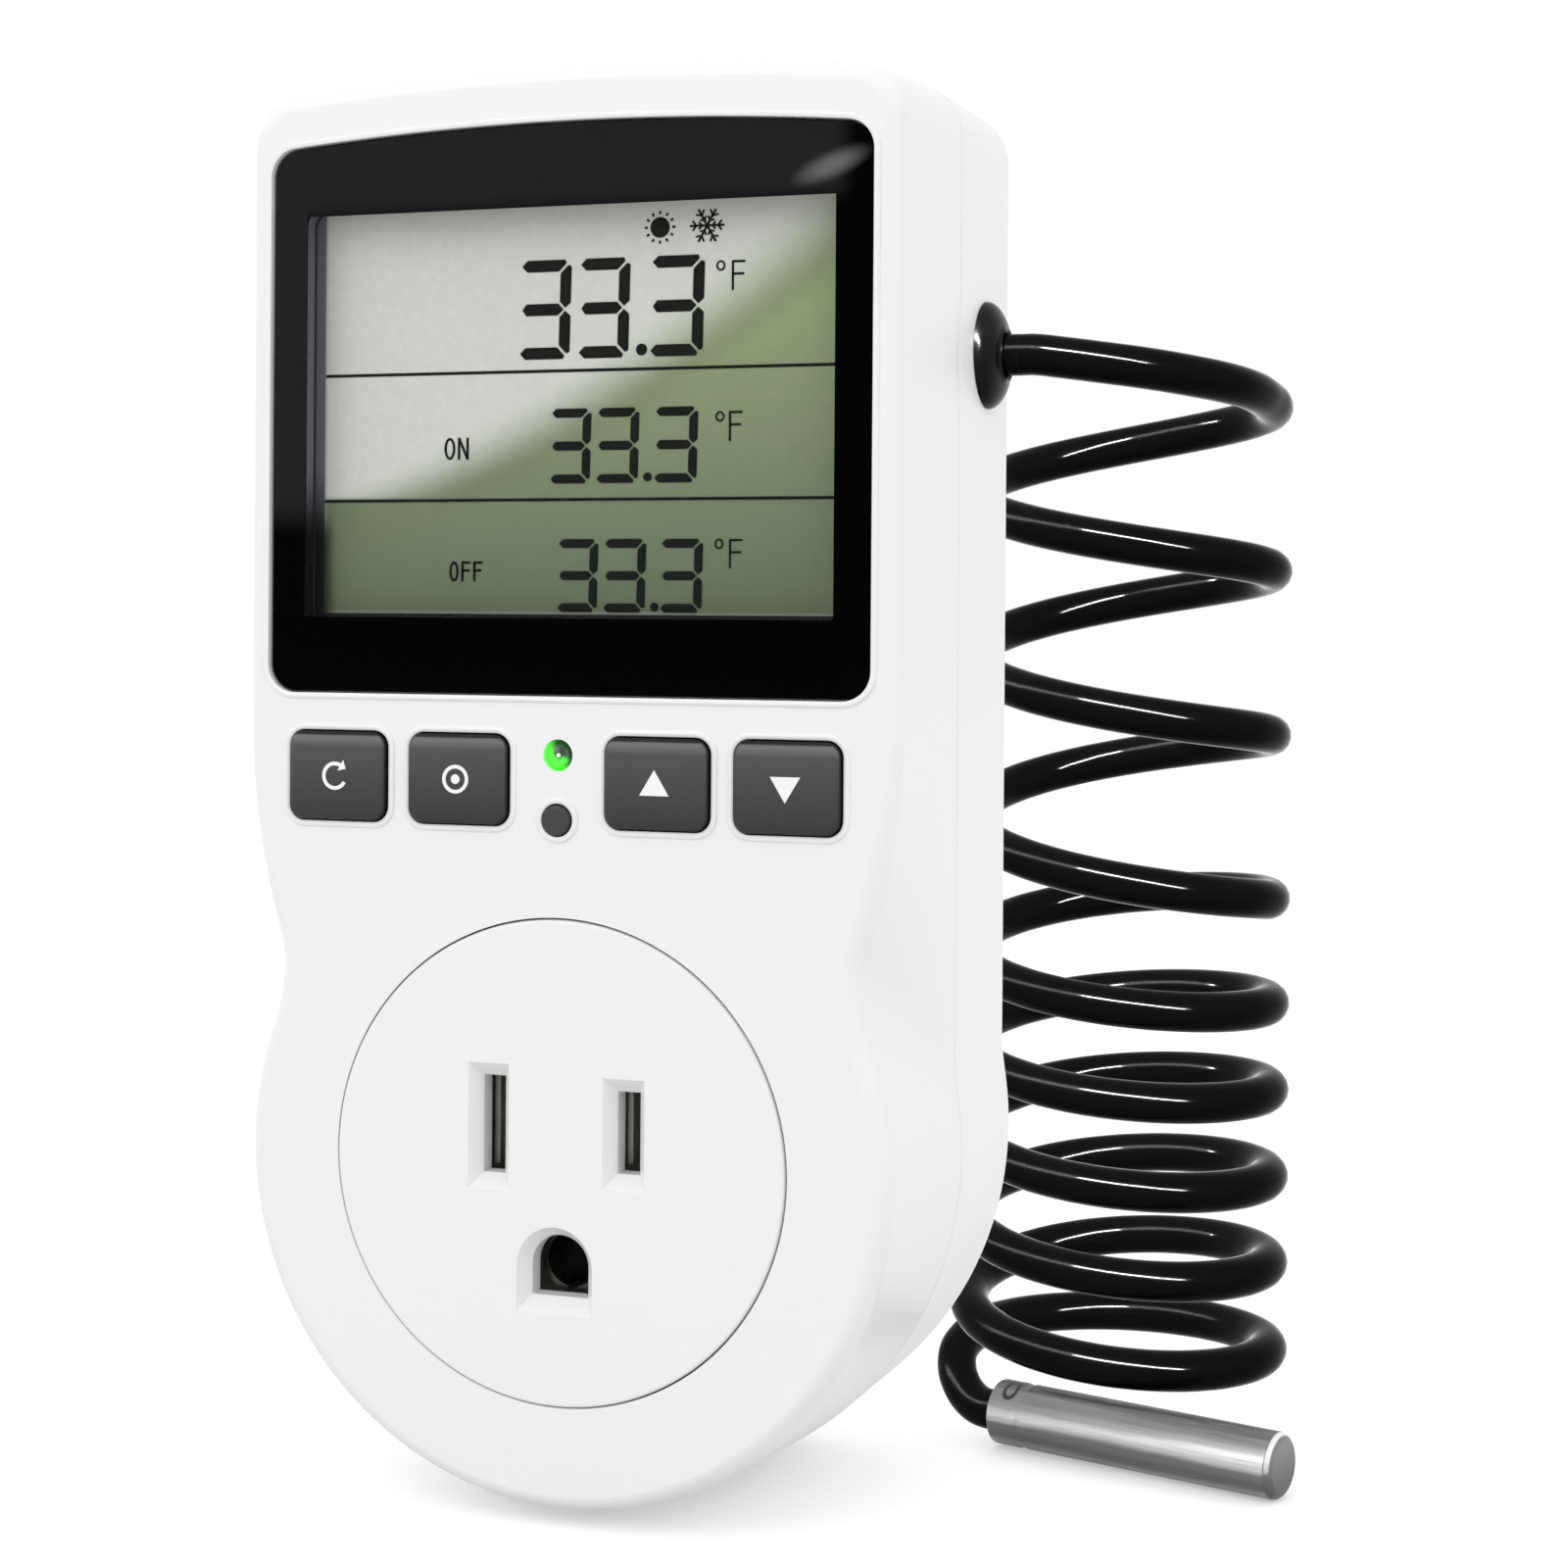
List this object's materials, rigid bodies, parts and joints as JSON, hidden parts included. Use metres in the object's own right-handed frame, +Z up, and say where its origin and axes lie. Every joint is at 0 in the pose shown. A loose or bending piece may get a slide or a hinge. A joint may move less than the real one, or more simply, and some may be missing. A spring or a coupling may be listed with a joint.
{
  "type": "plug-in temperature controller",
  "caption": "Plug-in temperature controller with grounded plug and outlet, framed display over a row of keys, and a steel probe on a coiled lead.",
  "frame": {"origin": "on the flat face round the plug's blades, on the axis of the round outlet", "axes": "+Y towards the wall outlet it plugs into, +Z up, +X to the right as seen from the front"},
  "size_m": [0.09, 0.0621, 0.1275],
  "materials": {
    "housing": "satin white, moulded",
    "lens": "clear, printed black behind round the window",
    "dark_plastic": "matt black",
    "lcd": "grey-green with dark segments",
    "diffuser": "milky",
    "contact_rubber": "matt",
    "board": "green solder mask",
    "chip": "matt black",
    "led": "clear green, lit",
    "key": "fine satin, dark grey",
    "reset": "satin",
    "plated_steel": "zinc plated",
    "contact_brass": "stamped",
    "inner_plastic": "matt",
    "plated_brass": "nickel plated, brushed",
    "relay_case": "moulded blue",
    "fuse_glass": "clear, with metal caps",
    "capacitor_case": "moulded yellow",
    "capacitor_sleeve": "dark blue sleeve",
    "varistor_coat": "dipped, blue",
    "gland": "glossy black",
    "cord": "glossy black flexible sheath",
    "probe_steel": "drawn stainless tube"
  },
  "bodies": {
    "housing": {"front_shell": "housing", "rear_shell": "housing", "display_lens": "lens", "lcd_frame": "dark_plastic", "lcd_panel": "lcd", "light_panel": "diffuser", "contact_strips": "contact_rubber", "display_board": "board", "controller_chip": "chip", "status_led": "led", "push_switches": "plated_steel", "board_screws": "plated_steel", "case_screws": "plated_steel", "socket_insert": "housing", "line_contact": "contact_brass", "neutral_contact": "contact_brass", "earth_contact": "contact_brass", "contact_carrier": "inner_plastic", "blade_holder": "inner_plastic", "line_blade": "plated_brass", "neutral_blade": "plated_brass", "earth_pin": "plated_brass", "power_board": "board", "relay": "relay_case", "fuse": "fuse_glass", "fuse_clips": "plated_steel", "suppression_capacitor": "capacitor_case", "bulk_capacitor": "capacitor_sleeve", "varistor": "varistor_coat", "rectifier": "chip", "board_link": "chip", "sensor_connector": "inner_plastic", "cable_gland": "gland", "lead_inner_end": "cord", "sensor_lead": "cord", "sensor_coil": "cord", "probe_lead": "cord", "probe_tube": "probe_steel", "probe_seal": "gland", "thermistor": "chip"},
    "mode_button": {"mode_key": "key", "mode_plunger": "dark_plastic"},
    "set_button": {"set_key": "key", "set_plunger": "dark_plastic"},
    "up_button": {"up_key": "key", "up_plunger": "dark_plastic"},
    "down_button": {"down_key": "key", "down_plunger": "dark_plastic"},
    "reset_button": {"reset_key": "reset", "reset_plunger": "dark_plastic"}
  },
  "joints": [
    {"name": "mode_press", "type": "slide", "parent": "housing", "child": "mode_button", "axis": [0, 1, 0], "range_m": [0, 0.0005], "stiffness_N_per_m": 1500, "springref_m": -0.0003},
    {"name": "set_press", "type": "slide", "parent": "housing", "child": "set_button", "axis": [0, 1, 0], "range_m": [0, 0.0005], "stiffness_N_per_m": 1500, "springref_m": -0.0003},
    {"name": "up_press", "type": "slide", "parent": "housing", "child": "up_button", "axis": [0, 1, 0], "range_m": [0, 0.0005], "stiffness_N_per_m": 1500, "springref_m": -0.0003},
    {"name": "down_press", "type": "slide", "parent": "housing", "child": "down_button", "axis": [0, 1, 0], "range_m": [0, 0.0005], "stiffness_N_per_m": 1500, "springref_m": -0.0003},
    {"name": "reset_press", "type": "slide", "parent": "housing", "child": "reset_button", "axis": [0, 1, 0], "range_m": [0, 0.0005], "stiffness_N_per_m": 1500, "springref_m": -0.0003}
  ]
}
